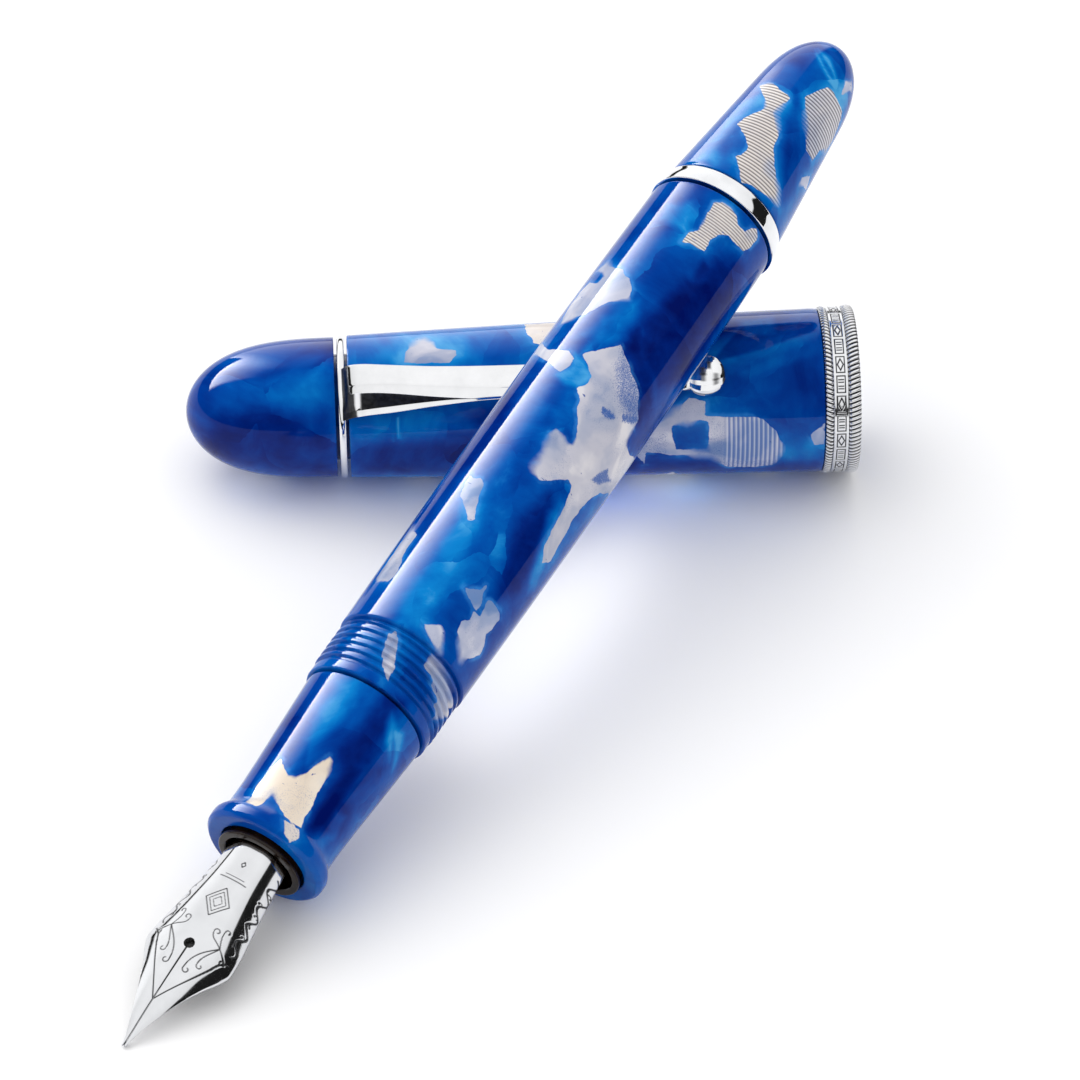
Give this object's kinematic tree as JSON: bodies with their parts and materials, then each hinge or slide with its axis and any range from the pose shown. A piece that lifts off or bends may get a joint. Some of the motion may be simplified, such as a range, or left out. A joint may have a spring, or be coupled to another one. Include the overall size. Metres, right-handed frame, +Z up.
{
  "type": "fountain pen",
  "caption": "Piston-filling fountain pen in marbled acrylic, uncapped and lying across its own cap, with a steel nib, a clip, chrome bands and a turning filler knob.",
  "frame": {"origin": "bottom centre of the bounding box of the pen and its cap as they lie, on the surface under them", "axes": "+X along the lying cap towards its mouth, +Y away from the nib tip across the cap, the longest extent, +Z up"},
  "size_m": [0.0742, 0.1088, 0.0367],
  "materials": {
    "polished_steel": "polished, engraved",
    "tipping_alloy": "fine ground",
    "black_feed": "moulded, satin",
    "black_housing": "moulded, gloss",
    "blue_marble": "polished marbled acrylic, blue with pearl-white chips",
    "trim_chrome": "mirror polished plating",
    "clip_chrome": "mirror polished plating",
    "band_chrome": "polished plating with roped edges",
    "turned_brass": "turned",
    "mechanism_plastic": "moulded",
    "rod_plastic": "moulded",
    "piston_plastic": "moulded, slippery",
    "seal_rubber": "moulded",
    "liner_plastic": "moulded"
  },
  "bodies": {
    "cap": {"cap_tube": "blue_marble", "cap_crown": "blue_marble", "clip": "clip_chrome", "inner_cap": "liner_plastic", "cap_band": "band_chrome", "rope_ring_rear": "band_chrome", "rope_ring_mouth": "band_chrome"},
    "pen": {"barrel": "blue_marble", "section": "blue_marble", "section_seal": "seal_rubber", "nib_housing": "black_housing", "nib": "polished_steel", "tipping_left": "tipping_alloy", "tipping_right": "tipping_alloy", "feed": "black_feed", "barrel_trim_ring": "trim_chrome", "mechanism_housing": "mechanism_plastic", "mechanism_seal": "seal_rubber"},
    "knob": {"piston_knob": "blue_marble", "piston_spindle": "turned_brass"},
    "piston": {"piston_head": "piston_plastic", "piston_seal": "seal_rubber", "piston_rod": "rod_plastic"}
  },
  "joints": [
    {"name": "pen_lift", "type": "slide", "parent": "cap", "child": "pen", "axis": [0, 0, 1], "range_m": [0, 0.06]},
    {"name": "knob_turn", "type": "hinge", "parent": "pen", "child": "knob", "pos_m": [0.02258, 0.03446, 0.02766], "axis": [0.5393, 0.8047, 0.2482], "range_deg": [0, 1980]},
    {"name": "piston_travel", "type": "slide", "parent": "pen", "child": "piston", "axis": [-0.5393, -0.8047, -0.2482], "range_m": [0, 0.028]}
  ],
  "couplings": [
    {"joint": "piston_travel", "follows": "knob_turn", "m_per_rad": 0.00081}
  ]
}
